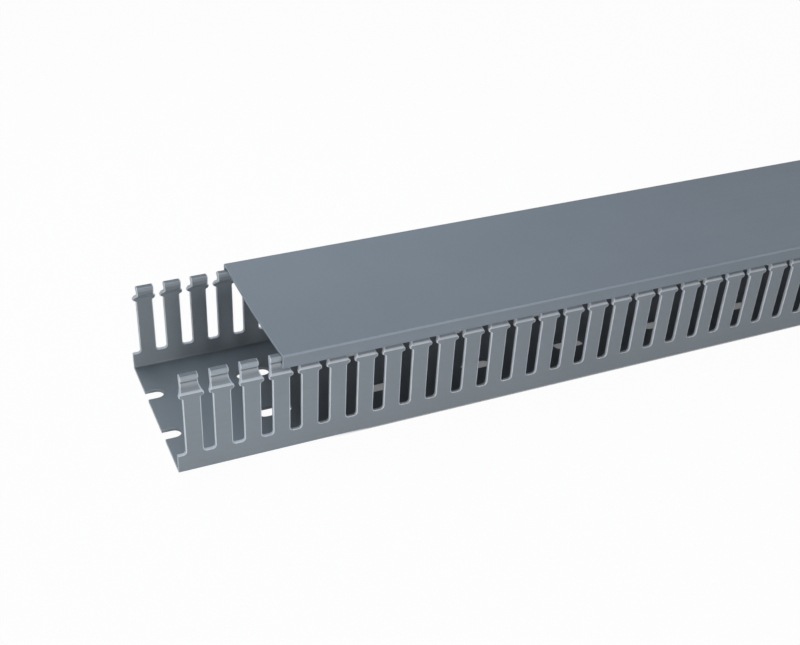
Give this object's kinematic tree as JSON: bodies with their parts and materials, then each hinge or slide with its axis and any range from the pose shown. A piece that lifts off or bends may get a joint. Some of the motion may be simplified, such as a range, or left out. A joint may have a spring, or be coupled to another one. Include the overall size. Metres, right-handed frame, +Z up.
{
  "type": "slotted wire duct",
  "caption": "Open-topped rigid PVC wiring duct with punched finger walls, a slotted floor and its cover slid back from one end.",
  "frame": {"origin": "middle of the channel's underside, where it is fastened to a panel", "axes": "+X along the duct towards the end where the cover overhangs, +Y across it to the rear wall, +Z up out of the panel"},
  "size_m": [0.5455, 0.0804, 0.0472],
  "materials": {
    "duct_pvc": "satin extruded rigid PVC, blue-grey, punched edges paler",
    "cover_pvc": "satin extruded rigid PVC, blue-grey"
  },
  "bodies": {
    "channel": {"slotted_channel": "duct_pvc"},
    "cover": {"duct_cover": "cover_pvc"}
  },
  "joints": [
    {"name": "cover_slide", "type": "slide", "parent": "channel", "child": "cover", "axis": [1, 0, 0], "range_m": [-0.0455, 0.2045]}
  ]
}
